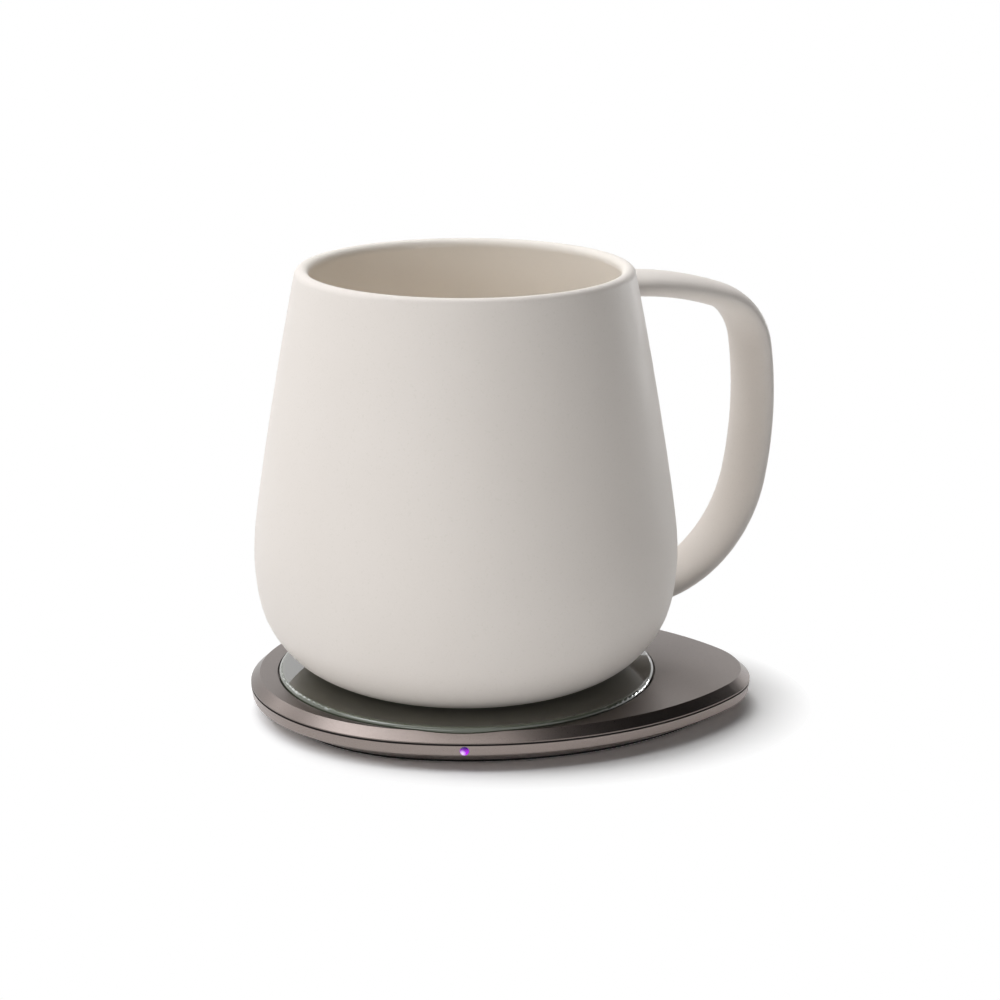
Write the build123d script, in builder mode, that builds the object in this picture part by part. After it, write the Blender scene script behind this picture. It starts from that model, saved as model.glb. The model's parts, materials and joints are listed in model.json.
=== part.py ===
from build123d import *
import os
from math import cos, hypot, radians, sin, sqrt

# Self heating mug: a ceramic mug with a heater in its base, on a wireless power pad.
# Millimetres, +Z up. The origin is on the surface that the pad stands on, under the
# middle of the round glass plate. +X runs to the pad's narrow end, where its circuit
# is, and -Y to the side with the indicator lamp.

# Pad outline: a round end and a narrow end joined by two flatter sides
round_end_x = -4.94
round_end_radius = 43.6
tip_x = 39.97
tip_radius = 24.0
side_radius = 71.65

# Pad heights
metal_top = 8.6
chamfer_run = 2.02
chamfer_drop = 1.85
edge_land = 0.25
seam_gap = 0.4
band_height = 2.3
band_draft = 0.3
underside_height = 0.8
underside_inset = 6.0
band_round = 0.6

# Pad shells
top_thickness = 1.3
wall = 1.5
lap_clearance = 0.2
lap_thickness = 0.9
lap_depth = 1.3
side_wall_inset = 1.7
side_wall_height = 4.5
floor_height = 2.2
floor_inset = 5.9
gasket_setback = 0.5

# Glass plate and its seat
glass_thickness = 1.9
glass_proud = 0.85
glass_edge_round = 0.8
glass_edge_bevel = 0.2
glass_gap = 0.35
bond_thickness = 0.25
bond_margin = 0.35
ledge_width = 4.0

# Case screws, their posts and bosses
screw_inset = 4.05
screw_count = 4
screw_start_angle = 45.0
post_radius = 2.8
ear_radius = 3.4
post_joint_height = 4.3
screw_radius = 1.0
screw_hole_clearance = 0.15
screw_grip = 0.05
case_head_radius = 1.9
case_head_height = 1.1
case_head_clearance = 0.2
case_head_seat = 2.4
case_screw_length = 4.1
drive_radius = 0.75
drive_depth = 0.6

# Anti-slip sheet
sheet_recess = 0.4
sheet_inset = 6.6
sheet_clearance = 0.1
sheet_edge_round = 0.3

# Main circuit board
board_seat = 2.9
board_thickness = 0.8
board_inset = 5.2
board_boss_clearance = 0.3

# Coil carrier and its screws
carrier_bottom = 4.7
carrier_top = 7.2
carrier_clearance = 0.6
pocket_wall = 1.5
pocket_floor = 0.8
hub_radius = 8.0
lug_reach = 2.0
lug_count = 3
lug_radius = 2.6
lug_thickness = 1.5
lug_foot_radius = 2.4
carrier_head_radius = 1.8
carrier_head_height = 1.0
carrier_screw_radius = 1.0
carrier_screw_length = 4.6
carrier_pilot_depth = 1.6

# Transmitter coil, ferrite, cushion and plate sensor
coil_clearance = 0.3
ferrite_thickness = 0.7
coil_thickness = 1.0
coil_inner_radius = 9.5
coil_pitch = 1.55
coil_strand = 1.25
cushion_margin = 0.5
plate_sensor_radius = 1.5
plate_sensor_clearance = 0.3

# Parts on the main board, in the narrow end
inductor_side = 7.0
inductor_height = 3.0
inductor_gap = 1.4
inductor_round = 1.0
tuning_length = 5.0
tuning_width = 3.0
tuning_height = 2.6
tuning_x = 41.0
tuning_spacing = 18.0
smoothing_radius = 2.5
smoothing_height = 2.7
smoothing_x = 54.0
smoothing_spacing = 14.0
transistor_side = 3.0
transistor_height = 0.9
transistor_x = 47.0
transistor_spacing = 14.0
chip_side = 5.0
chip_height = 0.9
chip_gap = 3.4

# Power socket at the back, opposite the lamp
socket_height = 4.1
socket_width = 8.94
socket_tall = 3.2
socket_depth = 7.3
socket_skin = 0.3
socket_setback = 0.5
socket_clearance = 0.1
tongue_width = 6.7
tongue_thickness = 0.7
tongue_setback = 0.9
tab_width = 1.2
tab_length = 2.2
tab_margin = 0.2
socket_corner = 1.2
chin_margin = 1.6
chin_depth = 4.5
chin_drop = 0.9

# Indicator lamp at the front
lamp_x = -0.5
lamp_height = 4.95
lens_radius = 0.95
lens_clearance = 0.05
lens_proud = 0.55
lamp_width = 3.0
lamp_depth = 1.0
lamp_tall = 2.2
lamp_gap = 0.2
lens_seat = 0.1

# Mug outline, outside from the foot to the lip and inside from the lip to the floor
mug_height = 90.8
belly_radius = 47.1
lip_thickness = 3.2
lip_lean = 11.0
foot_share = 0.633
outside_shares = (
    (0.742, 0.022),
    (0.830, 0.053),
    (0.901, 0.095),
    (0.956, 0.147),
    (0.992, 0.230),
    (1.0, 0.301),
    (0.978, 0.425),
    (0.932, 0.579),
    (0.870, 0.765),
)
rim_share = 0.755
inside_shares = (
    (0.802, 0.765),
    (0.865, 0.579),
    (0.911, 0.425),
    (0.930, 0.307),
    (0.914, 0.224),
    (0.835, 0.159),
)
cup_floor_thickness = 4.0
cup_floor_radius = 29.0
wall_pull = 1.0

# Handle: an oval strap along four tangent arcs, in a plane turned from +X. Its two
# ends are shares of the belly radius, and its height and bends shares of the mug height
handle_angle = 30.0
handle_width = 15.3
handle_thickness = 5.84
handle_root_share = 0.70
handle_end_share = 0.836
handle_top_share = 0.9156
handle_rise = 2.32
shoulder_share = 0.999
shoulder_angle = 21.48
corner_share = 0.169
corner_angle = 61.6
back_share = 0.921
back_angle = 21.9
hook_angle = 88.0
handle_top_blend = 4.0
handle_low_blend = 3.0

# Heater space under the cup floor
foot_wall = 2.8
film_thickness = 0.4
film_clearance = 1.0
blanket_thickness = 2.2
mug_board_thickness = 0.8
mug_part_height = 1.1
mug_part_clearance = 0.3
mug_ferrite_thickness = 0.7
mug_coil_thickness = 1.0
cover_floor = 1.2
cover_recess = 0.3
cover_wall = 1.0
cover_clearance = 0.3
seal_width = 0.95
seal_height = 1.6
seal_squeeze = 0.05
mug_coil_inner_radius = 8.5
mug_coil_pitch = 1.45
mug_coil_strand = 1.2
mug_ferrite_inner_radius = 7.5
sensor_radius = 1.6
sensor_height = 1.2
cutout_length = 8.0
cutout_width = 4.0
cutout_height = 1.6
cutout_x = 14.0
pocket_clearance = 0.3
rectifier_side = 3.4
rectifier_x = 13.0
rectifier_spacing = 8.0
mug_capacitor_length = 3.2
mug_capacitor_width = 1.6
mug_capacitor_x = -14.0
mug_capacitor_spacing = 4.0

# One overrun serves every cut that passes through a face
overrun = 1.0

# A quarter of a full turn, in degrees
quarter_turn = 90.0

# Outline of the pad, worked out from its arcs
outline_run = tip_x - round_end_x
round_offset = side_radius - round_end_radius
tip_offset = side_radius - tip_radius
side_x = round_end_x + (round_offset**2 - tip_offset**2 + outline_run**2) / (2 * outline_run)
side_y = sqrt(round_offset**2 - (side_x - round_end_x) ** 2)

# Heights that follow from the values above
land_bottom = metal_top - chamfer_drop - edge_land
band_top = land_bottom - seam_gap
band_bottom = band_top - band_height
ceiling = metal_top - top_thickness
glass_top = metal_top + glass_proud
glass_bottom = glass_top - glass_thickness
ledge_top = glass_bottom - bond_thickness
lap_bottom = land_bottom - lap_depth
board_top = board_seat + board_thickness
carrier_floor = carrier_bottom + pocket_floor
ferrite_top = carrier_floor + ferrite_thickness
lug_top = carrier_bottom + lug_thickness
pilot_top = case_head_seat + case_screw_length + case_head_clearance
cover_top = glass_top + cover_recess + cover_floor
mug_coil_top = cover_top + mug_coil_thickness
mug_board_bottom = mug_coil_top + mug_ferrite_thickness + mug_part_clearance + mug_part_height
blanket_bottom = mug_board_bottom + mug_board_thickness
film_bottom = blanket_bottom + blanket_thickness
bay_height = film_bottom + film_thickness - glass_top
chin_bottom = socket_height - socket_tall / 2 - chin_drop
sheet_top = underside_height + sheet_recess

# Radii and insets that follow
foot_radius = foot_share * belly_radius
bay_radius = foot_radius - foot_wall
glass_radius = side_radius - side_y - chamfer_run
seat_radius = glass_radius + glass_gap
ledge_inner_radius = seat_radius - ledge_width
screw_circle = ledge_inner_radius - screw_inset
carrier_radius = screw_circle - ear_radius - carrier_clearance
lug_circle = carrier_radius + lug_reach
pocket_radius = carrier_radius - pocket_wall
coil_outer_radius = pocket_radius - coil_clearance
lap_outer_inset = wall + lap_clearance
lap_inner_inset = lap_outer_inset + lap_thickness
screw_hole_radius = screw_radius + screw_hole_clearance
pilot_radius = screw_radius + screw_grip
carrier_pilot_radius = carrier_screw_radius + screw_grip
ear_reach = seat_radius - ear_radius
inductor_x = seat_radius + wall + inductor_gap + inductor_side / 2
chip_x = lug_circle + lug_radius + chip_gap + chip_side / 2
chin_width = socket_width + 2 * chin_margin
cover_wall_radius = bay_radius - seal_width - seal_squeeze
film_radius = bay_radius - film_clearance
mug_coil_outer_radius = cover_wall_radius - cover_wall - cover_clearance


def half_width_at(x, inset):
    """Return the outline's half width at x, on its side arcs, moved in by inset."""
    return sqrt((side_radius - inset) ** 2 - (x - side_x) ** 2) - side_y


socket_back = half_width_at(0, 0) - socket_setback - socket_depth
lens_back = -(half_width_at(lamp_x, board_inset) - lens_seat)
lens_shoulder = -half_width_at(lamp_x, band_draft * (band_top - lamp_height) / band_height)


def egg(inset):
    """Return the pad's outline, moved in by inset, as a face of four tangent arcs."""
    def touch(centre_x, radius):
        scale = (radius - inset) / hypot(centre_x - side_x, side_y)
        return centre_x + scale * (centre_x - side_x), scale * side_y

    round_touch = touch(round_end_x, round_end_radius)
    tip_touch = touch(tip_x, tip_radius)
    middle_x = (round_touch[0] + tip_touch[0]) / 2
    middle_y = half_width_at(middle_x, inset)
    round_far = (round_end_x - round_end_radius + inset, 0)
    tip_far = (tip_x + tip_radius - inset, 0)
    round_near = (round_touch[0], -round_touch[1])
    tip_near = (tip_touch[0], -tip_touch[1])
    with BuildSketch() as outline:
        with BuildLine():
            ThreePointArc(round_touch, round_far, round_near)
            ThreePointArc(round_near, (middle_x, -middle_y), tip_near)
            ThreePointArc(tip_near, tip_far, tip_touch)
            ThreePointArc(tip_touch, (middle_x, middle_y), round_touch)
        make_face()
    return outline.sketch


def spiral(inner_radius, outer_radius, pitch, strand):
    """Return a flat spiral of half circles, as a face one strand wide."""
    turns = int((outer_radius - inner_radius - strand) / pitch)
    step = pitch / 2
    starts = [inner_radius + step * count for count in range(2 * turns + 1)]
    with BuildSketch() as winding:
        with BuildLine():
            for extra in (0, strand):
                for count, start in enumerate(starts[:-1]):
                    sign = -1 if count % 2 else 1
                    centre = step if count % 2 else 0
                    reach = sign * (start + extra)
                    ThreePointArc((centre + reach, 0), (centre, reach), (centre - reach, 0))
            Line((starts[0], 0), (starts[0] + strand, 0))
            Line((starts[-1], 0), (starts[-1] + strand, 0))
        make_face()
    return winding.sketch


def facing_back(y):
    """Return the plane at y that faces +Y, centred on the power socket."""
    return Plane((0, y, socket_height), x_dir=(-1, 0, 0), z_dir=(0, 1, 0))


def save(part, name):
    """Label one finished piece and write it to its own file."""
    part.label = name
    export_step(part, f"parts/{name}.step")


os.makedirs("parts", exist_ok=True)

# Pad top shell: bevelled plate with a round seat for the glass
with BuildPart() as pad_top_shell:
    with BuildSketch(Plane.XY.offset(land_bottom)):
        add(egg(0))
    extrude(amount=edge_land)
    with BuildSketch(Plane.XY.offset(land_bottom + edge_land)):
        add(egg(0))
    with BuildSketch(Plane.XY.offset(metal_top)):
        add(egg(chamfer_run))
    loft(ruled=True)
    with BuildSketch(Plane.XY.offset(lap_bottom)):
        add(egg(lap_outer_inset))
    extrude(amount=lap_depth)
    with BuildSketch(Plane.XY.offset(lap_bottom)):
        add(egg(lap_inner_inset))
    extrude(amount=ceiling - lap_bottom, mode=Mode.SUBTRACT)
    with BuildSketch(Plane.XY.offset(land_bottom)):
        add(egg(lap_outer_inset))
        Circle(seat_radius + wall, mode=Mode.INTERSECT)
    extrude(amount=ledge_top - land_bottom)
    with BuildSketch(Plane.XY.offset(ledge_top)):
        Circle(seat_radius)
    extrude(amount=metal_top - ledge_top + overrun, mode=Mode.SUBTRACT)
    with BuildSketch(Plane.XY.offset(lap_bottom)):
        Circle(ledge_inner_radius)
    extrude(amount=metal_top - lap_bottom, mode=Mode.SUBTRACT)
    with BuildSketch(Plane.XY.offset(land_bottom)):
        with PolarLocations((screw_circle + ear_reach) / 2, screw_count, screw_start_angle):
            SlotCenterToCenter(ear_reach - screw_circle, 2 * ear_radius)
    extrude(amount=ledge_top - land_bottom)
    with BuildSketch(Plane.XY.offset(post_joint_height)):
        with PolarLocations(screw_circle, screw_count, screw_start_angle):
            Circle(post_radius)
    extrude(amount=land_bottom - post_joint_height)
    with BuildSketch(Plane.XY.offset(post_joint_height)):
        with PolarLocations(screw_circle, screw_count, screw_start_angle):
            Circle(pilot_radius)
    extrude(amount=pilot_top - post_joint_height, mode=Mode.SUBTRACT)
    with BuildSketch(Plane.XY.offset(lap_bottom)):
        with Locations((0, half_width_at(0, 0))):
            Rectangle(chin_width + 2 * lap_clearance, 2 * (lap_inner_inset + wall))
        with Locations((lamp_x, -half_width_at(lamp_x, 0))):
            Rectangle(2 * (lens_radius + lap_clearance), 2 * (lap_inner_inset + wall))
    extrude(amount=lap_depth, mode=Mode.SUBTRACT)
save(pad_top_shell.part, "pad_top_shell")

# Pad bottom shell: upright band over a sloping underside, open at the top
with BuildPart() as pad_bottom_shell:
    with BuildSketch(Plane.XY.offset(band_top)):
        add(egg(0))
    with BuildSketch(Plane.XY.offset(band_bottom)):
        add(egg(band_draft))
    loft(ruled=True)
    with BuildSketch(Plane.XY.offset(band_bottom)):
        add(egg(band_draft))
    with BuildSketch(Plane.XY.offset(underside_height)):
        add(egg(underside_inset))
    loft(ruled=True)
    turned = pad_bottom_shell.edges().filter_by_position(Axis.Z, band_bottom, band_bottom)
    fillet(turned, radius=band_round)
    with BuildSketch(Plane.XY.offset(band_top)):
        add(egg(wall))
    with BuildSketch(Plane.XY.offset(side_wall_height)):
        add(egg(side_wall_inset))
    loft(ruled=True, mode=Mode.SUBTRACT)
    with BuildSketch(Plane.XY.offset(side_wall_height)):
        add(egg(side_wall_inset))
    with BuildSketch(Plane.XY.offset(floor_height)):
        add(egg(floor_inset))
    loft(ruled=True, mode=Mode.SUBTRACT)
    with BuildSketch(Plane.XY.offset(chin_bottom)):
        add(egg(0))
        with Locations((0, half_width_at(0, 0))):
            Rectangle(chin_width, 2 * chin_depth, mode=Mode.INTERSECT)
    extrude(amount=band_top - chin_bottom)
    with BuildSketch(facing_back(socket_back - socket_clearance)):
        RectangleRounded(
            socket_width + 2 * socket_clearance,
            socket_tall + 2 * socket_clearance,
            socket_corner + socket_clearance,
        )
    extrude(amount=socket_depth + socket_setback + overrun, mode=Mode.SUBTRACT)
    with BuildSketch(Plane((lamp_x, lens_back, lamp_height), x_dir=(1, 0, 0), z_dir=(0, -1, 0))):
        Circle(lens_radius + lens_clearance)
    extrude(amount=half_width_at(lamp_x, 0) + lens_back + overrun, mode=Mode.SUBTRACT)
    with BuildSketch(Plane.XY.offset(underside_height)):
        with PolarLocations(screw_circle, screw_count, screw_start_angle):
            Circle(post_radius)
    extrude(amount=post_joint_height - underside_height)
    with BuildSketch(Plane.XY.offset(floor_height)):
        with PolarLocations(lug_circle, lug_count):
            Circle(lug_foot_radius)
    extrude(amount=board_seat - floor_height)
    with BuildSketch(Plane.XY.offset(underside_height)):
        add(egg(sheet_inset))
    extrude(amount=sheet_recess, mode=Mode.SUBTRACT)
    with BuildSketch(Plane.XY.offset(underside_height)):
        with PolarLocations(screw_circle, screw_count, screw_start_angle):
            Circle(case_head_radius + case_head_clearance)
    extrude(amount=case_head_seat - underside_height, mode=Mode.SUBTRACT)
    with BuildSketch(Plane.XY.offset(underside_height)):
        with PolarLocations(screw_circle, screw_count, screw_start_angle):
            Circle(screw_hole_radius)
    extrude(amount=post_joint_height - underside_height, mode=Mode.SUBTRACT)
    with BuildSketch(Plane.XY.offset(board_seat)):
        with PolarLocations(lug_circle, lug_count):
            Circle(carrier_pilot_radius)
    extrude(amount=-carrier_pilot_depth, mode=Mode.SUBTRACT)
save(pad_bottom_shell.part, "pad_bottom_shell")

# Seam gasket, set back from the outline so that the joint reads as a dark line
with BuildPart() as seam_gasket:
    with BuildSketch(Plane.XY.offset(band_top)):
        add(egg(gasket_setback))
        add(egg(wall), mode=Mode.SUBTRACT)
    extrude(amount=seam_gap)
save(seam_gasket.part, "seam_gasket")

# Round glass plate with a softened rim
with BuildPart() as glass_plate:
    with BuildSketch(Plane.XY.offset(glass_bottom)):
        Circle(glass_radius)
    extrude(amount=glass_thickness)
    fillet(glass_plate.faces().sort_by(Axis.Z)[-1].edges(), radius=glass_edge_round)
    chamfer(glass_plate.faces().sort_by(Axis.Z)[0].edges(), length=glass_edge_bevel)
save(glass_plate.part, "glass_plate")

# Adhesive ring between the glass and its ledge
with BuildPart() as glass_bond_ring:
    with BuildSketch(Plane.XY.offset(ledge_top)):
        Circle(glass_radius - glass_edge_bevel - bond_margin)
        Circle(ledge_inner_radius + bond_margin, mode=Mode.SUBTRACT)
    extrude(amount=bond_thickness)
save(glass_bond_ring.part, "glass_bond_ring")

# Cushion disc that fills the space between the coil carrier and the glass
with BuildPart() as coil_cushion:
    with BuildSketch(Plane.XY.offset(carrier_top)):
        Circle(carrier_radius - cushion_margin)
        Circle(plate_sensor_radius + plate_sensor_clearance, mode=Mode.SUBTRACT)
    extrude(amount=glass_bottom - carrier_top)
save(coil_cushion.part, "coil_cushion")

# Coil carrier: pocket for ferrite and coil, hub for the sensor, three feet
with BuildPart() as coil_carrier:
    with BuildSketch(Plane.XY.offset(carrier_bottom)):
        Circle(carrier_radius)
    extrude(amount=carrier_top - carrier_bottom)
    with BuildSketch(Plane.XY.offset(carrier_floor)):
        Circle(pocket_radius)
        Circle(hub_radius, mode=Mode.SUBTRACT)
    extrude(amount=carrier_top - carrier_floor, mode=Mode.SUBTRACT)
    with BuildSketch(Plane.XY.offset(carrier_bottom)):
        with PolarLocations((lug_circle + pocket_radius) / 2, lug_count):
            SlotCenterToCenter(lug_circle - pocket_radius, 2 * lug_radius)
        Circle(pocket_radius, mode=Mode.SUBTRACT)
    extrude(amount=lug_thickness)
    with BuildSketch(Plane.XY.offset(board_top)):
        with PolarLocations(lug_circle, lug_count):
            Circle(lug_foot_radius)
    extrude(amount=carrier_bottom - board_top)
    with BuildSketch(Plane.XY.offset(board_top)):
        with PolarLocations(lug_circle, lug_count):
            Circle(screw_hole_radius)
    extrude(amount=carrier_top - board_top + overrun, mode=Mode.SUBTRACT)
    with BuildSketch(Plane.XY.offset(carrier_top)):
        with PolarLocations(lug_circle, lug_count):
            Circle(carrier_head_radius + case_head_clearance)
    extrude(amount=-(carrier_top - lug_top), mode=Mode.SUBTRACT)
    with BuildSketch(Plane.XY.offset(carrier_top)):
        Circle(plate_sensor_radius + plate_sensor_clearance)
    extrude(amount=-coil_thickness, mode=Mode.SUBTRACT)
save(coil_carrier.part, "coil_carrier")

# Ferrite sheet under the transmitter coil
with BuildPart() as transmitter_ferrite:
    with BuildSketch(Plane.XY.offset(carrier_floor)):
        Circle(coil_outer_radius)
        Circle(hub_radius + coil_clearance, mode=Mode.SUBTRACT)
    extrude(amount=ferrite_thickness)
save(transmitter_ferrite.part, "transmitter_ferrite")

# Transmitter coil, one flat layer of wound strand
with BuildPart() as transmitter_coil:
    with BuildSketch(Plane.XY.offset(ferrite_top)):
        add(spiral(coil_inner_radius, coil_outer_radius, coil_pitch, coil_strand))
    extrude(amount=coil_thickness)
save(transmitter_coil.part, "transmitter_coil")

# Sensor that reads the glass temperature
with BuildPart() as plate_sensor:
    with BuildSketch(Plane.XY.offset(carrier_top - coil_thickness)):
        Circle(plate_sensor_radius)
    extrude(amount=glass_bottom - carrier_top + coil_thickness)
save(plate_sensor.part, "plate_sensor")

# Main circuit board, cut out for the bosses, the socket and the carrier screws
with BuildPart() as main_board:
    with BuildSketch(Plane.XY.offset(board_seat)):
        add(egg(board_inset))
        with PolarLocations(screw_circle, screw_count, screw_start_angle):
            Circle(post_radius + board_boss_clearance, mode=Mode.SUBTRACT)
        with PolarLocations(lug_circle, lug_count):
            Circle(screw_hole_radius, mode=Mode.SUBTRACT)
        with Locations((0, half_width_at(0, 0))):
            Rectangle(
                socket_width + 2 * socket_clearance,
                2 * (half_width_at(0, 0) - socket_back + socket_clearance),
                mode=Mode.SUBTRACT,
            )
    extrude(amount=board_thickness)
save(main_board.part, "main_board")

# Parts on the main board
with BuildPart() as power_inductor:
    with BuildSketch(Plane.XY.offset(board_top)):
        with Locations((inductor_x, 0)):
            RectangleRounded(inductor_side, inductor_side, inductor_round)
    extrude(amount=inductor_height)
save(power_inductor.part, "power_inductor")

with BuildPart() as tuning_capacitors:
    with BuildSketch(Plane.XY.offset(board_top)):
        with Locations((tuning_x, -tuning_spacing / 2), (tuning_x, tuning_spacing / 2)):
            Rectangle(tuning_length, tuning_width)
    extrude(amount=tuning_height)
save(tuning_capacitors.part, "tuning_capacitors")

with BuildPart() as smoothing_capacitors:
    with BuildSketch(Plane.XY.offset(board_top)):
        with Locations((smoothing_x, -smoothing_spacing / 2), (smoothing_x, smoothing_spacing / 2)):
            Circle(smoothing_radius)
    extrude(amount=smoothing_height)
save(smoothing_capacitors.part, "smoothing_capacitors")

with BuildPart() as drive_transistors:
    with BuildSketch(Plane.XY.offset(board_top)):
        with Locations((transistor_x, -transistor_spacing / 2), (transistor_x, transistor_spacing / 2)):
            Rectangle(transistor_side, transistor_side)
    extrude(amount=transistor_height)
save(drive_transistors.part, "drive_transistors")

with BuildPart() as controller_chip:
    with BuildSketch(Plane.XY.offset(board_top)):
        with Locations((chip_x, 0)):
            Rectangle(chip_side, chip_side)
    extrude(amount=chip_height)
save(controller_chip.part, "controller_chip")

# Power socket: folded metal shell with soldering tabs, and its contact tongue
with BuildPart() as power_socket_shell:
    with BuildSketch(facing_back(socket_back)):
        RectangleRounded(socket_width, socket_tall, socket_corner)
    extrude(amount=socket_depth)
    with BuildSketch(facing_back(socket_back + socket_skin)):
        RectangleRounded(
            socket_width - 2 * socket_skin, socket_tall - 2 * socket_skin, socket_corner - socket_skin
        )
    extrude(amount=socket_depth, mode=Mode.SUBTRACT)
    with BuildSketch(Plane.XY.offset(board_top)):
        with Locations((0, socket_back + tab_margin + tab_length / 2)):
            Rectangle(socket_width + 2 * tab_width, tab_length)
            Rectangle(socket_width - socket_skin, tab_length, mode=Mode.SUBTRACT)
    extrude(amount=socket_skin)
save(power_socket_shell.part, "power_socket_shell")

with BuildPart() as power_socket_tongue:
    with BuildSketch(facing_back(socket_back + socket_skin)):
        Rectangle(tongue_width, tongue_thickness)
    extrude(amount=socket_depth - socket_skin - tongue_setback)
save(power_socket_tongue.part, "power_socket_tongue")

# Indicator lamp: the light source on the board and the clear rod that shows it
with BuildPart() as lamp_source:
    with BuildSketch(Plane.XY.offset(board_top)):
        with Locations((lamp_x, lens_back + lamp_gap + lamp_depth / 2)):
            Rectangle(lamp_width, lamp_depth)
    extrude(amount=lamp_tall)
save(lamp_source.part, "lamp_source")

with BuildPart() as lamp_lens:
    lens_plane = Plane((lamp_x, 0, lamp_height))
    with BuildSketch(lens_plane):
        with BuildLine():
            Line((0, lens_back), (lens_radius, lens_back))
            Line((lens_radius, lens_back), (lens_radius, lens_shoulder))
            EllipticalCenterArc(
                (0, lens_shoulder), lens_radius, lens_proud, -quarter_turn, arc_size=quarter_turn
            )
            Line((0, lens_shoulder - lens_proud), (0, lens_back))
        make_face()
    revolve(axis=Axis((lamp_x, 0, lamp_height), (0, 1, 0)))
save(lamp_lens.part, "lamp_lens")

# Anti-slip sheet that the pad stands on, over the case screws
with BuildPart() as anti_slip_sheet:
    with BuildSketch():
        add(egg(sheet_inset + sheet_clearance))
    extrude(amount=sheet_top)
    chamfer(anti_slip_sheet.faces().sort_by(Axis.Z)[0].edges(), length=sheet_edge_round)
save(anti_slip_sheet.part, "anti_slip_sheet")

# Case screws, from below into the top shell's posts
with BuildPart() as case_screws:
    with PolarLocations(screw_circle, screw_count, screw_start_angle):
        with Locations((0, 0, case_head_seat - case_head_height / 2)):
            Cylinder(case_head_radius, case_head_height)
        with Locations((0, 0, case_head_seat + case_screw_length / 2)):
            Cylinder(screw_radius, case_screw_length)
        with Locations((0, 0, case_head_seat - case_head_height + drive_depth / 2)):
            Cylinder(drive_radius, drive_depth, mode=Mode.SUBTRACT)
save(case_screws.part, "case_screws")

# Carrier screws, from above through the board into the bottom shell
with BuildPart() as carrier_screws:
    with PolarLocations(lug_circle, lug_count):
        with Locations((0, 0, lug_top + carrier_head_height / 2)):
            Cylinder(carrier_head_radius, carrier_head_height)
        with Locations((0, 0, lug_top - carrier_screw_length / 2)):
            Cylinder(carrier_screw_radius, carrier_screw_length)
        with Locations((0, 0, lug_top + carrier_head_height - drive_depth / 2)):
            Cylinder(drive_radius, drive_depth, mode=Mode.SUBTRACT)
save(carrier_screws.part, "carrier_screws")

# Mug: thrown cup with an oval strap handle, fired as one piece
handle_plane = Plane(
    (0, 0, glass_top),
    x_dir=(cos(radians(handle_angle)), sin(radians(handle_angle)), 0),
    z_dir=(sin(radians(handle_angle)), -cos(radians(handle_angle)), 0),
)
cup_plane = Plane((0, 0, glass_top), x_dir=(1, 0, 0), z_dir=(0, -1, 0))
back_heading = handle_rise - shoulder_angle - corner_angle - back_angle
hook_run = sin(radians(back_heading - hook_angle)) - sin(radians(back_heading))
lip_radius = lip_thickness / 2
lip_centre = (rim_share * belly_radius, mug_height - lip_radius)
lip_reach = (lip_radius * cos(radians(lip_lean)), lip_radius * sin(radians(lip_lean)))
lip_outside = (lip_centre[0] + lip_reach[0], lip_centre[1] + lip_reach[1])
lip_inside = (lip_centre[0] - lip_reach[0], lip_centre[1] - lip_reach[1])
outside_points = [(across * belly_radius, up * mug_height) for across, up in outside_shares]
inside_points = [(across * belly_radius, up * mug_height) for across, up in inside_shares]

with BuildPart() as mug_body:
    with BuildSketch(cup_plane):
        with BuildLine():
            Line((0, 0), (foot_radius, 0))
            Spline((foot_radius, 0), *outside_points, lip_outside)
            ThreePointArc(lip_outside, (lip_centre[0], mug_height), lip_inside)
            Line(lip_inside, (0, lip_inside[1]))
            Line((0, lip_inside[1]), (0, 0))
        make_face()
    revolve(axis=Axis((0, 0, 0), (0, 0, 1)))
    with BuildLine(handle_plane) as handle_path:
        handle_root = (handle_root_share * belly_radius, handle_top_share * mug_height)
        heading = (cos(radians(handle_rise)), sin(radians(handle_rise)))
        shoulder = JernArc(handle_root, heading, shoulder_share * mug_height, -shoulder_angle)
        corner = JernArc(shoulder @ 1, shoulder % 1, corner_share * mug_height, -corner_angle)
        back = JernArc(corner @ 1, corner % 1, back_share * mug_height, -back_angle)
        hook_reach = handle_plane.to_local_coords(back @ 1).X - handle_end_share * belly_radius
        JernArc(back @ 1, back % 1, hook_reach / hook_run, -hook_angle)
    strap_plane = Plane(handle_path.line @ 0, x_dir=handle_plane.z_dir, z_dir=handle_path.line % 0)
    with BuildSketch(strap_plane):
        Ellipse(handle_width / 2, handle_thickness / 2)
    sweep(path=handle_path.line)
    handle_joints = mug_body.edges(Select.NEW).sort_by(Axis.Z)
    fillet(handle_joints[-1], radius=handle_top_blend)
    fillet(handle_joints[0], radius=handle_low_blend)
    with BuildSketch(cup_plane):
        with BuildLine():
            Line((0, bay_height + cup_floor_thickness), (cup_floor_radius, bay_height + cup_floor_thickness))
            Spline(
                (cup_floor_radius, bay_height + cup_floor_thickness),
                *reversed(inside_points),
                lip_inside,
                tangents=((1, 0), (-sin(radians(lip_lean)), cos(radians(lip_lean)))),
                tangent_scalars=(wall_pull, wall_pull),
            )
            Line(lip_inside, (0, lip_inside[1]))
            Line((0, lip_inside[1]), (0, bay_height + cup_floor_thickness))
        make_face()
    revolve(axis=Axis((0, 0, 0), (0, 0, 1)), mode=Mode.SUBTRACT)
    with BuildSketch(Plane.XY.offset(glass_top)):
        Circle(bay_radius)
    extrude(amount=bay_height, mode=Mode.SUBTRACT)
save(mug_body.part, "mug_body")

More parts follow.
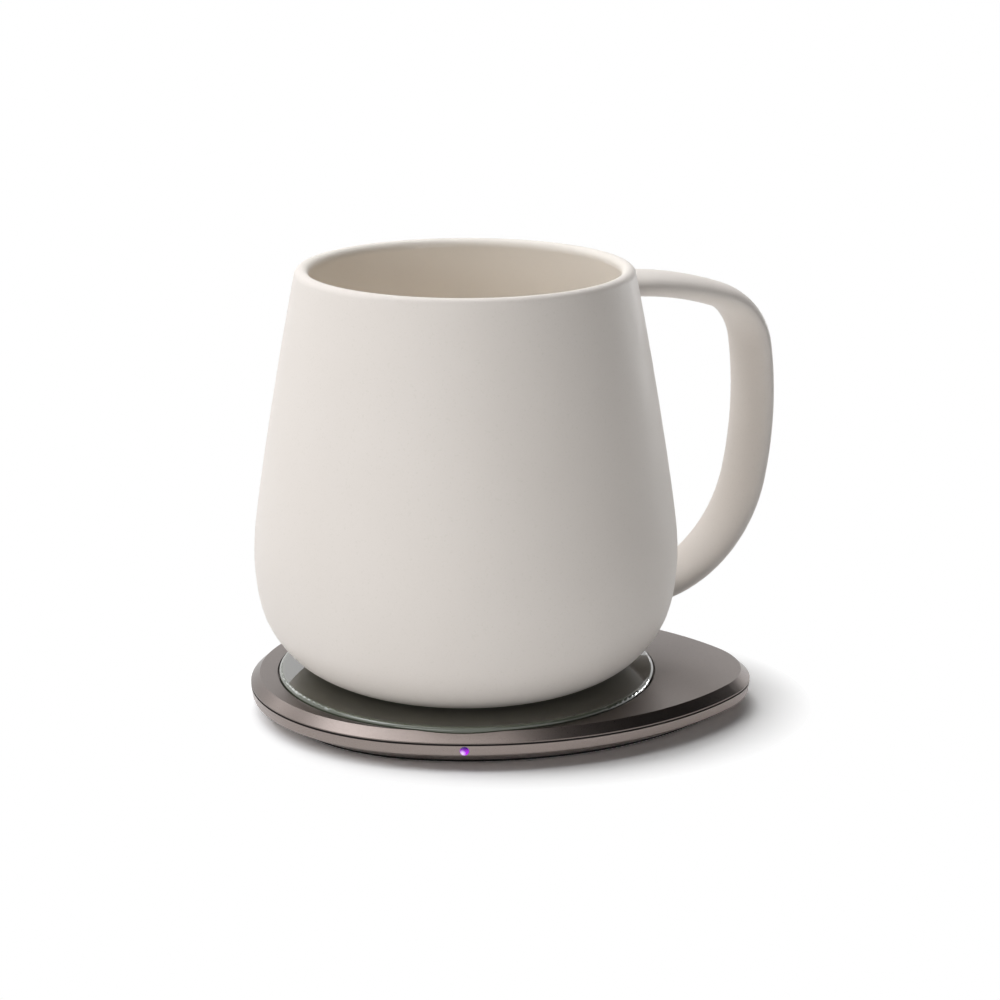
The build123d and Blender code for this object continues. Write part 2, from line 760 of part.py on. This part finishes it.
# Base cover: shallow dish that carries the receiver and closes the bay
with BuildPart() as base_cover:
    with BuildSketch(Plane.XY.offset(glass_top + cover_recess)):
        Circle(bay_radius - cover_clearance)
    extrude(amount=cover_floor)
    with BuildSketch(Plane.XY.offset(cover_top)):
        Circle(cover_wall_radius)
        Circle(cover_wall_radius - cover_wall, mode=Mode.SUBTRACT)
    extrude(amount=mug_board_bottom - cover_top)
save(base_cover.part, "base_cover")

# Sealing ring around the base cover's wall
with BuildPart() as base_seal:
    with BuildSketch(Plane.XY.offset(cover_top)):
        Circle(bay_radius - seal_squeeze)
        Circle(cover_wall_radius + seal_squeeze, mode=Mode.SUBTRACT)
    extrude(amount=seal_height)
save(base_seal.part, "base_seal")

# Receiver coil and the ferrite sheet over it
with BuildPart() as receiver_coil:
    with BuildSketch(Plane.XY.offset(cover_top)):
        add(spiral(mug_coil_inner_radius, mug_coil_outer_radius, mug_coil_pitch, mug_coil_strand))
    extrude(amount=mug_coil_thickness)
save(receiver_coil.part, "receiver_coil")

with BuildPart() as receiver_ferrite:
    with BuildSketch(Plane.XY.offset(mug_coil_top)):
        Circle(mug_coil_outer_radius)
        Circle(mug_ferrite_inner_radius, mode=Mode.SUBTRACT)
    extrude(amount=mug_ferrite_thickness)
save(receiver_ferrite.part, "receiver_ferrite")

# Receiver board with its rectifiers and capacitors on the underside
with BuildPart() as receiver_board:
    with BuildSketch(Plane.XY.offset(mug_board_bottom)):
        Circle(cover_wall_radius)
    extrude(amount=mug_board_thickness)
save(receiver_board.part, "receiver_board")

with BuildPart() as receiver_rectifiers:
    with BuildSketch(Plane.XY.offset(mug_board_bottom)):
        with Locations((rectifier_x, -rectifier_spacing / 2), (rectifier_x, rectifier_spacing / 2)):
            Rectangle(rectifier_side, rectifier_side)
    extrude(amount=-mug_part_height)
save(receiver_rectifiers.part, "receiver_rectifiers")

with BuildPart() as receiver_capacitors:
    with BuildSketch(Plane.XY.offset(mug_board_bottom)):
        with Locations(
            (mug_capacitor_x, -mug_capacitor_spacing),
            (mug_capacitor_x, 0),
            (mug_capacitor_x, mug_capacitor_spacing),
        ):
            Rectangle(mug_capacitor_length, mug_capacitor_width)
    extrude(amount=-mug_part_height)
save(receiver_capacitors.part, "receiver_capacitors")

# Insulation blanket between the board and the hot film, with two pockets
with BuildPart() as insulation_blanket:
    with BuildSketch(Plane.XY.offset(blanket_bottom)):
        Circle(film_radius)
    extrude(amount=blanket_thickness)
    with BuildSketch(Plane.XY.offset(film_bottom)):
        Circle(sensor_radius + pocket_clearance)
    extrude(amount=-sensor_height, mode=Mode.SUBTRACT)
    with BuildSketch(Plane.XY.offset(film_bottom)):
        with Locations((cutout_x, 0)):
            Rectangle(cutout_length + 2 * pocket_clearance, cutout_width + 2 * pocket_clearance)
    extrude(amount=-cutout_height, mode=Mode.SUBTRACT)
save(insulation_blanket.part, "insulation_blanket")

# Heating film bonded to the underside of the cup floor
with BuildPart() as heating_film:
    with BuildSketch(Plane.XY.offset(film_bottom)):
        Circle(film_radius)
    extrude(amount=film_thickness)
save(heating_film.part, "heating_film")

# Drink temperature sensor and over-heat cut-out, against the film
with BuildPart() as drink_sensor:
    with BuildSketch(Plane.XY.offset(film_bottom)):
        Circle(sensor_radius)
    extrude(amount=-sensor_height)
save(drink_sensor.part, "drink_sensor")

with BuildPart() as thermal_cutout:
    with BuildSketch(Plane.XY.offset(film_bottom)):
        with Locations((cutout_x, 0)):
            Rectangle(cutout_length, cutout_width)
    extrude(amount=-cutout_height)
save(thermal_cutout.part, "thermal_cutout")
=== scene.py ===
import json
from math import atan, cos, pi, radians, sin

import bpy
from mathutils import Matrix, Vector


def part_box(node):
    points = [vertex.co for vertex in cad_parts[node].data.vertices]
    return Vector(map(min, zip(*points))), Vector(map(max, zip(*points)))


# Looks of a self heating mug on its power pad. Metres, in the frame of the packed
# model: the pad's narrow end points to +X and its indicator lamp to -Y.
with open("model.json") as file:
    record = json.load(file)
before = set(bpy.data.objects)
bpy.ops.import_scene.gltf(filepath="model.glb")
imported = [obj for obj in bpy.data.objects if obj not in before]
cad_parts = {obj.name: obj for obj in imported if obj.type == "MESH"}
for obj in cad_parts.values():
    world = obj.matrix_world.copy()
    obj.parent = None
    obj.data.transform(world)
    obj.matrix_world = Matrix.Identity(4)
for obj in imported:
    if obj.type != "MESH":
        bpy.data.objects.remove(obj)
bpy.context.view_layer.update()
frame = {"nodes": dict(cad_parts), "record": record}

MM = 0.001
nodes = frame["nodes"]
slot_of = {row["node"]: row["material_slot"] for row in frame["record"]["subparts"]}


# Camera: a long lens in front of the lamp, a little above the rim
camera_place = Vector((0, -581.6, 208.4)) * MM
camera_down = radians(15.45)
camera_aside = radians(0.745)
camera_lens = 97.8
camera_sensor = 36.0
camera_clip = 10 * MM


def make_camera():
    data = bpy.data.cameras.new("camera")
    data.lens = camera_lens
    data.sensor_width = camera_sensor
    data.clip_start = camera_clip
    camera = bpy.data.objects.new("camera", data)
    camera.location = camera_place
    camera.rotation_euler = (pi / 2 - camera_down, 0, -camera_aside)
    bpy.context.scene.collection.objects.link(camera)
    bpy.context.scene.camera = camera


make_camera()


# Node helpers
class Shader:
    """A new material with a Principled shader, and short ways to add nodes to it."""

    def __init__(self, name, **values):
        self.material = bpy.data.materials.new(name)
        self.material.use_nodes = True
        self.tree = self.material.node_tree
        self.bsdf = self.tree.nodes["Principled BSDF"]
        self.coordinates = self.tree.nodes.new("ShaderNodeTexCoord").outputs["Object"]
        for socket, value in values.items():
            self.bsdf.inputs[socket.replace("_", " ")].default_value = value

    def node(self, kind, inputs=None, **settings):
        made = self.tree.nodes.new(kind)
        for key, value in settings.items():
            setattr(made, key, value)
        for key, value in (inputs or {}).items():
            if isinstance(value, bpy.types.NodeSocket):
                self.tree.links.new(value, made.inputs[key])
            else:
                made.inputs[key].default_value = value
        return made

    def maths(self, operation, *inputs):
        made = self.node("ShaderNodeMath", dict(enumerate(inputs)), operation=operation)
        return made.outputs["Value"]

    def vector(self, operation, *inputs, output="Vector"):
        made = self.node("ShaderNodeVectorMath", dict(enumerate(inputs)), operation=operation)
        return made.outputs[output]

    def from_axis(self):
        """Return the flat vector from the Z axis to the point, and its length."""
        place = self.node("ShaderNodeSeparateXYZ", {"Vector": self.coordinates}).outputs
        flat = self.node("ShaderNodeCombineXYZ", {"X": place["X"], "Y": place["Y"]}).outputs["Vector"]
        return flat, self.vector("LENGTH", flat, output="Value")

    def noise(self, grain, detail=2.0, roughness=0.5, stretch=None):
        """Return noise whose blobs are grain metres across."""
        place = self.coordinates
        if stretch:
            place = self.node("ShaderNodeMapping", {"Vector": place, "Scale": stretch}).outputs["Vector"]
        made = self.node("ShaderNodeTexNoise", {"Vector": place, "Scale": 1 / grain,
                                                "Detail": detail, "Roughness": roughness})
        return made.outputs["Fac"]

    def spread(self, value, low, high, start=0.3, end=0.7):
        """Return value, mapped from start..end to low..high."""
        made = self.node("ShaderNodeMapRange", {"Value": value, "From Min": start, "From Max": end,
                                                "To Min": low, "To Max": high})
        return made.outputs["Result"]

    def blend(self, factor, first, second):
        """Return a colour that goes from first to second as factor goes from 0 to 1."""
        made = self.node("ShaderNodeMix", {"Factor": factor}, data_type="RGBA")
        for index, value in ((6, first), (7, second)):
            if isinstance(value, bpy.types.NodeSocket):
                self.tree.links.new(value, made.inputs[index])
            else:
                made.inputs[index].default_value = (*value, 1)
        return made.outputs[2]

    def give(self, socket, value):
        self.tree.links.new(value, self.bsdf.inputs[socket])

    def bump(self, height, depth, under=None):
        """Raise the surface by up to depth metres where height is 1."""
        inputs = {"Height": height, "Distance": depth, "Strength": 1.0}
        if under:
            inputs["Normal"] = under
        made = self.node("ShaderNodeBump", inputs)
        self.tree.links.new(made.outputs["Normal"], self.bsdf.inputs["Normal"])
        return made.outputs["Normal"]


# Finishes seen from outside
def mug_ceramic():
    """Matte off-white glaze with faint warm clouding and a fine tooth; inside the cup a paler, warmer
    colour is painted bounce light.
    """
    cloud_size = 38 * MM
    speck_size = 0.5 * MM
    mottle_size = 6 * MM
    wave_size, wave_depth = 16 * MM, 0.02 * MM
    tooth_size, tooth_depth = 0.35 * MM, 0.0015 * MM
    cup_end, handle_start = 44.5 * MM, 46 * MM
    shader = Shader("mug_ceramic", Specular_IOR_Level=0.35)
    clouds = shader.spread(shader.noise(cloud_size, detail=3), 0, 1)
    specks = shader.spread(shader.noise(speck_size, detail=1), 0, 1, 0.62, 0.72)
    body = shader.blend(clouds, (0.862, 0.803, 0.745), (0.874, 0.817, 0.761))
    outer = shader.blend(specks, body, (0.838, 0.785, 0.722))
    # Paler, warmer copy of the glaze for the cup's inside: painted bounce light
    painted_bounce_inside = shader.blend(clouds, (0.935, 0.880, 0.805), (0.945, 0.892, 0.820))
    # Painted bounce light goes on the cup's inside, which is what faces the axis, as far out as the
    # handle's start
    flat, reach = shader.from_axis()
    normal = shader.node("ShaderNodeTexCoord").outputs["Normal"]
    outward = shader.vector("DOT_PRODUCT", flat, normal, output="Value")
    facing = shader.maths("DIVIDE", outward, reach)
    within = shader.spread(facing, 1, 0, -0.5, 0.2)
    near = shader.spread(reach, 1, 0, cup_end, handle_start)
    cup = shader.maths("MULTIPLY", within, near)
    shader.give("Base Color", shader.blend(cup, outer, painted_bounce_inside))
    shader.give("Roughness", shader.spread(shader.noise(mottle_size, detail=4), 0.46, 0.54))
    waves = shader.bump(shader.noise(wave_size, detail=1), wave_depth)
    shader.bump(shader.noise(tooth_size, detail=2), tooth_depth, waves)
    return shader.material


def anodised_metal(name, paleness):
    """Bead-blasted aluminium, anodised warm grey: a fine even grain with a soft shine."""
    grain_size, grain_depth = 0.22 * MM, 0.004 * MM
    patch_size = 9 * MM
    shader = Shader(name, Metallic=1.0)
    # A paleness above 1 makes a paler copy of the metal, which is painted light, as on the band
    plain, worn, deep = [tuple(part * paleness for part in colour) for colour in (
        (0.184, 0.156, 0.144), (0.195, 0.166, 0.154), (0.163, 0.138, 0.126))]
    grain = shader.noise(grain_size, detail=2, roughness=0.6)
    patches = shader.spread(shader.noise(patch_size, detail=3), 0, 1)
    body = shader.blend(patches, plain, worn)
    shader.give("Base Color", shader.blend(shader.spread(grain, 0, 1), body, deep))
    shader.give("Roughness", shader.spread(grain, 0.27, 0.34))
    shader.bump(grain, grain_depth)
    return shader.material


def plate_glass():
    """Polished glass over a grey-green print, greener through its rounded rim."""
    edge_width, edge_fade = 1.3 * MM, 0.6 * MM
    dot_size = 0.3 * MM
    smear_size = 5 * MM
    wave_size, wave_depth = 14 * MM, 0.004 * MM
    shader = Shader("plate_glass", IOR=1.52, Coat_Weight=1.0, Coat_Roughness=0.01)
    low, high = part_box("glass_plate")
    edge_start = (high.x - low.x) / 2 - edge_width
    reach = shader.from_axis()[1]
    edge = shader.spread(reach, 0, 1, edge_start, edge_start + edge_fade)
    mottle = shader.spread(shader.noise(dot_size, detail=1), 0, 1)
    ink = shader.blend(mottle, (0.058, 0.055, 0.034), (0.072, 0.069, 0.046))
    shader.give("Base Color", shader.blend(edge, ink, (0.12, 0.14, 0.095)))
    shader.give("Roughness", shader.spread(shader.noise(smear_size, detail=3), 0.02, 0.05))
    shader.bump(shader.noise(wave_size, detail=1), wave_depth)
    return shader.material


def black_rubber():
    """Matte moulded rubber with a fine open grain."""
    grain_size, grain_depth = 0.25 * MM, 0.02 * MM
    shader = Shader("black_rubber", Specular_IOR_Level=0.25)
    grain = shader.noise(grain_size, detail=3)
    shader.give("Base Color", shader.blend(grain, (0.012, 0.012, 0.012), (0.028, 0.027, 0.027)))
    shader.give("Roughness", shader.spread(grain, 0.68, 0.85))
    shader.bump(grain, grain_depth)
    return shader.material


def lamp_violet():
    """Clear rod lit from behind: violet glow, dark at its top edge, pale low on the left."""
    grain_size = 0.2 * MM
    shader = Shader("lamp_violet", Roughness=0.12, Specular_IOR_Level=0.25, Coat_Weight=0.25,
                    Coat_Roughness=0.02, Emission_Strength=1.0)
    low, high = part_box("lamp_lens")
    centre = (low + high) / 2
    radius = (high.z - low.z) / 2
    dome = Vector((centre.x, low.y, centre.z))
    place = shader.node("ShaderNodeSeparateXYZ", {"Vector": shader.coordinates}).outputs
    height = shader.spread(place["Z"], 0, 1, low.z, high.z)
    # Where the pale patch lies and ends, in shares of the dome's radius
    patch = dome + radius * Vector((-0.5, 0, -0.45))
    away = shader.vector("DISTANCE", shader.coordinates, patch, output="Value")
    pale = shader.spread(away, 1, 0, 0.10 * radius, 0.90 * radius)
    grain = shader.noise(grain_size, detail=1)
    glow = shader.blend(shader.spread(height, 0, 1, 0.45, 0.9), (0.50, 0.0, 0.87), (0.03, 0.0, 0.16))
    shader.give("Base Color", shader.blend(grain, (0.02, 0.004, 0.05), (0.03, 0.006, 0.06)))
    shader.give("Emission Color", shader.blend(pale, glow, (0.92, 0.78, 1.0)))
    return shader.material


# Finishes inside and underneath
def speckled(name, first, second, grain, rough, depth):
    """Return a finish that varies between two colours at one grain size."""
    rough_swing = 0.06
    shader = Shader(name)
    mottle = shader.noise(grain, detail=3)
    shader.give("Base Color", shader.blend(shader.spread(mottle, 0, 1), first, second))
    shader.give("Roughness", shader.spread(mottle, rough - rough_swing, rough + rough_swing))
    if depth:
        shader.bump(mottle, depth)
    return shader.material


def copper_strand():
    """Enamelled copper wound flat, with the strand's lay across it."""
    lay_size, lay_depth = 3 * MM, 0.03 * MM
    mottle_size = 0.6 * MM
    shader = Shader("copper_strand", Metallic=1.0)
    lay = shader.node("ShaderNodeTexWave", {
        "Vector": shader.coordinates, "Scale": 1 / lay_size, "Distortion": 1.5, "Detail": 2.0,
    }, bands_direction="DIAGONAL").outputs["Fac"]
    shader.give("Base Color", shader.blend(lay, (0.50, 0.20, 0.08), (0.78, 0.38, 0.18)))
    shader.give("Roughness", shader.spread(shader.noise(mottle_size), 0.28, 0.42))
    shader.bump(lay, lay_depth)
    return shader.material


def circuit_board():
    """Green solder mask with paler tracks under it."""
    cell_size, track_depth = 9 * MM, 0.02 * MM
    mottle_size = 0.8 * MM
    shader = Shader("circuit_board", Coat_Weight=0.3)
    cells = shader.node("ShaderNodeTexBrick", {
        "Vector": shader.coordinates, "Scale": 1 / cell_size, "Mortar Size": 0.03,
        "Color1": (0, 0, 0, 1), "Color2": (0.15, 0.15, 0.15, 1), "Mortar": (1, 1, 1, 1),
    }).outputs["Color"]
    shader.give("Base Color", shader.blend(cells, (0.008, 0.07, 0.03), (0.03, 0.16, 0.07)))
    shader.give("Roughness", shader.spread(shader.noise(mottle_size), 0.30, 0.42))
    shader.bump(cells, track_depth)
    return shader.material


def brushed_metal(name, colour, darker):
    """Bright metal with long fine scratches along X."""
    scratch_width, scratch_depth = 0.12 * MM, 0.004 * MM
    along_x = (0.08, 1, 1)
    shader = Shader(name, Metallic=1.0)
    scratches = shader.noise(scratch_width, detail=2, stretch=along_x)
    shader.give("Base Color", shader.blend(scratches, darker, colour))
    shader.give("Roughness", shader.spread(scratches, 0.26, 0.40))
    shader.bump(scratches, scratch_depth)
    return shader.material


finishes = {
    "mug_ceramic": mug_ceramic(),
    "anodised_metal": anodised_metal("anodised_metal", 1.0),
    "plate_glass": plate_glass(),
    "black_rubber": black_rubber(),
    "lamp_violet": lamp_violet(),
    "copper_strand": copper_strand(),
    "circuit_board": circuit_board(),
}

# Brushed metals: the metal's colour, and its colour in the scratches
for slot, colour, darker in (
    ("socket_steel", (0.68, 0.67, 0.65), (0.52, 0.51, 0.50)),
    ("screw_steel", (0.16, 0.16, 0.17), (0.08, 0.08, 0.085)),
    ("cutout_case", (0.62, 0.61, 0.60), (0.45, 0.44, 0.43)),
    ("capacitor_can", (0.75, 0.75, 0.76), (0.60, 0.60, 0.61)),
):
    finishes[slot] = brushed_metal(slot, colour, darker)

# Speckled finishes: two colours, the grain in millimetres, the roughness and the grain's depth
for slot, first, second, grain, rough, depth in (
    ("base_plastic", (0.62, 0.59, 0.555), (0.66, 0.63, 0.595), 0.7, 0.52, 0.01),
    ("seal_silicone", (0.55, 0.52, 0.49), (0.60, 0.57, 0.54), 0.5, 0.6, 0.01),
    ("bond_film", (0.015, 0.015, 0.015), (0.03, 0.03, 0.03), 0.8, 0.5, 0),
    ("cushion_foam", (0.24, 0.25, 0.24), (0.33, 0.34, 0.33), 0.4, 0.85, 0.05),
    ("carrier_plastic", (0.02, 0.02, 0.022), (0.035, 0.035, 0.038), 0.5, 0.5, 0.01),
    ("ferrite", (0.025, 0.023, 0.023), (0.06, 0.055, 0.055), 0.3, 0.62, 0.02),
    ("sensor_epoxy", (0.01, 0.01, 0.012), (0.02, 0.02, 0.024), 0.6, 0.2, 0),
    ("capacitor_case", (0.42, 0.26, 0.08), (0.50, 0.33, 0.12), 0.4, 0.3, 0),
    ("chip_epoxy", (0.012, 0.012, 0.013), (0.024, 0.024, 0.026), 0.25, 0.55, 0.01),
    ("socket_plastic", (0.015, 0.015, 0.015), (0.03, 0.03, 0.03), 0.4, 0.45, 0),
    ("lamp_case", (0.70, 0.70, 0.67), (0.78, 0.78, 0.75), 0.5, 0.45, 0),
    ("insulation", (0.62, 0.60, 0.54), (0.80, 0.78, 0.72), 0.6, 0.95, 0.12),
    ("heating_film", (0.42, 0.16, 0.02), (0.55, 0.24, 0.04), 0.9, 0.3, 0),
):
    finishes[slot] = speckled(slot, first, second, grain * MM, rough, depth * MM)

for name, node in nodes.items():
    node.data.materials.clear()
    node.data.materials.append(finishes[slot_of[name]])

# The band round the edge is another blank of the same metal; its paler colour is painted light, a lit copy
# of the metal
band_painted_light = 1.65
nodes["pad_bottom_shell"].data.materials[0] = anodised_metal("anodised_band_painted_light", band_painted_light)


# Floor: pale, and read as the white background by camera, glossy and clear rays. Past an
# oval round the pad it goes over to plain white, from clear_start to clear_end of its size.
floor_reach = 3.0
floor_tone = 0.90
floor_gain = 1.4
clear_centre = (10 * MM, 1.5 * MM, 0)
clear_length = 61 * MM
clear_width = 49 * MM
clear_start = 0.91
clear_end = 1.12


def seen_rays(tree):
    """Return a value that is 1 on camera, glossy and transmission rays."""
    path = tree.nodes.new("ShaderNodeLightPath").outputs
    value = path["Is Camera Ray"]
    for other in (path["Is Glossy Ray"], path["Is Transmission Ray"]):
        joined = tree.nodes.new("ShaderNodeMath")
        joined.operation = "MAXIMUM"
        tree.links.new(value, joined.inputs[0])
        tree.links.new(other, joined.inputs[1])
        value = joined.outputs[0]
    return value


def stage_card(name, corners, material):
    """Add a flat four-cornered stage piece."""
    mesh = bpy.data.meshes.new(name)
    mesh.from_pydata(corners, [], [(0, 1, 2, 3)])
    mesh.materials.append(material)
    card = bpy.data.objects.new(name, mesh)
    bpy.context.scene.collection.objects.link(card)
    return card


def floor_paper():
    """Matte pale floor that goes over to plain white away from the object."""
    shader = Shader("floor")
    seen = seen_rays(shader.tree)
    tone = shader.blend(seen, (floor_tone,) * 3, (floor_tone * floor_gain,) * 3)
    diffuse = shader.node("ShaderNodeBsdfDiffuse", {"Color": tone}).outputs["BSDF"]
    white = shader.node("ShaderNodeEmission", {"Color": (1, 1, 1, 1), "Strength": 1.0}).outputs["Emission"]
    offset = shader.vector("SUBTRACT", shader.coordinates, clear_centre)
    scaled = shader.vector("MULTIPLY", offset, (1 / clear_length, 1 / clear_width, 1))
    away = shader.vector("LENGTH", scaled, output="Value")
    far = shader.spread(away, 0, 1, clear_start, clear_end)
    clear = shader.maths("MULTIPLY", far, seen)
    both = shader.node("ShaderNodeMixShader", {0: clear, 1: diffuse, 2: white}).outputs["Shader"]
    shader.tree.links.new(both, shader.tree.nodes["Material Output"].inputs["Surface"])
    return shader.material


stage_card("floor", [(-floor_reach, -floor_reach, 0), (floor_reach, -floor_reach, 0),
                     (floor_reach, floor_reach, 0), (-floor_reach, floor_reach, 0)], floor_paper())


# Light: white surroundings, soft lamps round the mug, a lit table in front, a fill for
# the inside of the cup, and a dark card above on the right
sky_strength = 0.02
mug_middle = Vector((0, 0, 50)) * MM
lamp_distance = 1.3
neutral = (1, 1, 1)
cool = (0.965, 0.975, 1.0)


def make_world():
    """Add surroundings that look white, and give nearly no light."""
    world = bpy.data.worlds.new("studio")
    bpy.context.scene.world = world
    world.use_nodes = True
    tree = world.node_tree
    background = tree.nodes["Background"]
    background.inputs["Color"].default_value = (1, 1, 1, 1)
    strength = tree.nodes.new("ShaderNodeMapRange")
    strength.inputs["To Min"].default_value = sky_strength
    strength.inputs["To Max"].default_value = 1.0
    tree.links.new(seen_rays(tree), strength.inputs["Value"])
    tree.links.new(strength.outputs["Result"], background.inputs["Strength"])


def direction(heading, tilt):
    """Return the way to a lamp. Heading 0 is the front, left is positive; both in degrees."""
    heading = radians(heading)
    tilt = radians(tilt)
    return Vector((-sin(heading) * cos(tilt), -cos(heading) * cos(tilt), sin(tilt)))


def add_lamp(name, kind, place, power, **settings):
    """Hang a lamp that the camera doesn't see."""
    data = bpy.data.lights.new(name, kind)
    data.energy = power
    for key, value in settings.items():
        setattr(data, key, value)
    lamp = bpy.data.objects.new(name, data)
    lamp.location = place
    lamp.visible_camera = False
    bpy.context.scene.collection.objects.link(lamp)
    return lamp


def dark_card(name, heading, tilt, distance, width, height):
    """Hang a black card that faces the object, out of the camera's sight."""
    grain_size = 4 * MM
    shader = Shader(name, Roughness=0.9, Specular_IOR_Level=0.0)
    grain = shader.noise(grain_size)
    shader.give("Base Color", shader.blend(grain, (0.006, 0.006, 0.006), (0.012, 0.012, 0.012)))
    toward = direction(heading, tilt)
    aside = toward.cross(Vector((0, 0, 1))).normalized() * width / 2
    up = toward.cross(aside).normalized() * height / 2
    middle = toward * distance
    corners = [middle - aside - up, middle + aside - up, middle + aside + up, middle - aside + up]
    card = stage_card(name, [tuple(corner) for corner in corners], shader.material)
    card.visible_camera = False


make_world()

# Soft lamps: heading and tilt, width and height in metres, watts and colour
for name, heading, tilt, width, height, power, colour in (
    ("key", 68, 38, 0.7, 0.7, 3.0, cool),
    ("front_strip", 25, 10, 0.8, 0.2, 1.9, neutral),
    ("top_left", 88, 62, 0.8, 0.8, 5.8, cool),
    ("top", 0, 88, 0.7, 0.7, 4.2, neutral),
    ("back", 165, 60, 0.7, 0.7, 4.2, neutral),
    ("back_left", 135, 35, 0.5, 0.5, 2.0, neutral),
    ("back_right", -150, 45, 0.5, 0.5, 3.0, neutral),
    ("rim", -137, 2, 0.3, 0.12, 2.2, neutral),
):
    away = direction(heading, tilt)
    lamp = add_lamp(name, "AREA", mug_middle + lamp_distance * away, power,
                    shape="RECTANGLE", size=width, size_y=height, color=colour)
    lamp.rotation_euler = away.to_track_quat("Z", "Y").to_euler()

# The lit table lies on the floor in front and faces up
table_place = Vector((-20, -230, 4)) * MM
table_power = 0.34
table = add_lamp("floor_glow", "AREA", table_place, table_power, shape="RECTANGLE", size=0.60, size_y=0.30)
table.rotation_euler = (pi, 0, 0)
table.visible_glossy = False

# The cup's fill is a narrow spot lamp straight above, as wide as the cup at its lip
lip_height = 100 * MM
fill_height = 800 * MM
fill_radius = 31 * MM
fill_source = 5 * MM
fill_power = 13.0
add_lamp("cup_glow", "SPOT", (0, 0, lip_height + fill_height), fill_power, spot_blend=0.3,
         spot_size=2 * atan(fill_radius / fill_height), shadow_soft_size=fill_source)

dark_card("card_right", heading=-96, tilt=50, distance=0.60, width=0.80, height=0.70)

scene = bpy.context.scene
scene.view_settings.view_transform = "Standard"
